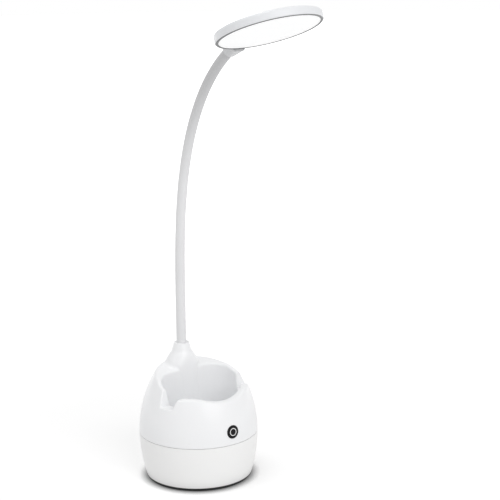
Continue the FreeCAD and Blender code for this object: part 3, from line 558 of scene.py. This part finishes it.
def place_camera():
    azimuth = math.radians(CAMERA_AZIMUTH)
    pitch = math.radians(CAMERA_PITCH)
    roll = math.radians(CAMERA_ROLL)
    heading = azimuth + math.radians(CAMERA_YAW)
    level = Vector((-math.sin(heading), math.cos(heading), 0.0))
    ahead = level * math.cos(pitch) - Vector((0.0, 0.0, math.sin(pitch)))
    across = Vector((math.cos(heading), math.sin(heading), 0.0))
    above = across.cross(ahead)
    right = across * math.cos(roll) + above * math.sin(roll)
    up = above * math.cos(roll) - across * math.sin(roll)
    data = bpy.data.cameras.new("camera")
    data.sensor_width = SENSOR_WIDTH
    data.lens = CAMERA_LENS
    data.clip_end = CAMERA_REACH
    camera = bpy.data.objects.new("camera", data)
    back = Vector((math.sin(azimuth), -math.cos(azimuth), 0.0))
    turn = Matrix((right, up, -ahead)).transposed().to_4x4()
    place = back * CAMERA_DISTANCE + Vector((0.0, 0.0, CAMERA_HEIGHT))
    camera.matrix_world = Matrix.Translation(place) @ turn
    bpy.context.scene.collection.objects.link(camera)
    bpy.context.scene.camera = camera


def area_light(name, place, target, size, power):
    data = bpy.data.lights.new(name, "AREA")
    data.shape = "DISK"
    data.size = size
    data.energy = power
    lamp = bpy.data.objects.new(name, data)
    lamp.location = place
    lamp.rotation_mode = "QUATERNION"
    lamp.rotation_quaternion = (Vector(target) - Vector(place)).to_track_quat("-Z", "Y")
    bpy.context.scene.collection.objects.link(lamp)


def studio_world():
    """A white sky that lights the scene at a lower strength than it shows."""
    world = bpy.data.worlds.new("studio")
    bpy.context.scene.world = world
    world.use_nodes = True
    nodes, links = world.node_tree.nodes, world.node_tree.links
    background = nodes["Background"]
    set_inputs(background, Color=WHITE)
    strength = node(nodes, "ShaderNodeMapRange")
    set_inputs(strength, To_Min=WORLD_STRENGTH, To_Max=1.0)
    links.new(seen_ray(nodes, links), strength.inputs["Value"])
    links.new(strength.outputs[0], background.inputs["Strength"])


def studio_floor():
    """A pale floor that shows white where nothing shades it, and darkens close to what stands on it."""
    bpy.ops.mesh.primitive_circle_add(vertices=FLOOR_SIDES, radius=FLOOR_RADIUS, fill_type="NGON")
    floor = bpy.context.object
    floor.name = "floor"
    material, nodes, links, shader = new_material(
        "pale floor", Roughness=FLOOR_ROUGHNESS, Specular_IOR_Level=0.0, Emission_Color=WHITE
    )
    place = node(nodes, "ShaderNodeTexCoord")
    away = node(nodes, "ShaderNodeVectorMath", operation="LENGTH")
    level = node(nodes, "ShaderNodeMapRange")
    set_inputs(level, From_Min=LIFT_START, From_Max=LIFT_END, To_Min=FLOOR_LIFT, To_Max=1.0)
    contact = node(nodes, "ShaderNodeAmbientOcclusion")
    set_inputs(contact, Distance=CONTACT_REACH, Color=(FLOOR_TONE, FLOOR_TONE, FLOOR_TONE, 1.0))
    lift = node(nodes, "ShaderNodeMath", operation="MULTIPLY")
    shaded = node(nodes, "ShaderNodeMath", operation="MULTIPLY")
    links.new(place.outputs["Object"], away.inputs[0])
    links.new(away.outputs["Value"], level.inputs["Value"])
    links.new(contact.outputs["Color"], shader.inputs["Base Color"])
    links.new(seen_ray(nodes, links), lift.inputs[0])
    links.new(level.outputs[0], lift.inputs[1])
    links.new(lift.outputs[0], shaded.inputs[0])
    links.new(contact.outputs["AO"], shaded.inputs[1])
    links.new(shaded.outputs[0], shader.inputs["Emission Strength"])
    floor.data.materials.append(material)


def light_studio():
    studio_world()
    studio_floor()
    area_light("key", KEY_PLACE, KEY_TARGET, KEY_SIZE, KEY_POWER)
    area_light("top", TOP_PLACE, TOP_TARGET, TOP_SIZE, TOP_POWER)
    bpy.context.scene.view_settings.view_transform = "Standard"


# Put everything together

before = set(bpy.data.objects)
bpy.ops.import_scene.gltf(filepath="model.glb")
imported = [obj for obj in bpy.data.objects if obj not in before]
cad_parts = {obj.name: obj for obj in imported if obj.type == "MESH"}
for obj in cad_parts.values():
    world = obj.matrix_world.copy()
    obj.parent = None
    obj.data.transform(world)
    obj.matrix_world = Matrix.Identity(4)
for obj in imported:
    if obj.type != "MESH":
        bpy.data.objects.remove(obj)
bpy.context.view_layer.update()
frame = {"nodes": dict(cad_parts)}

finish_base(frame["nodes"])
finish_head(frame["nodes"])
finish_inside(frame["nodes"])
dress_neck()

place_camera()
light_studio()
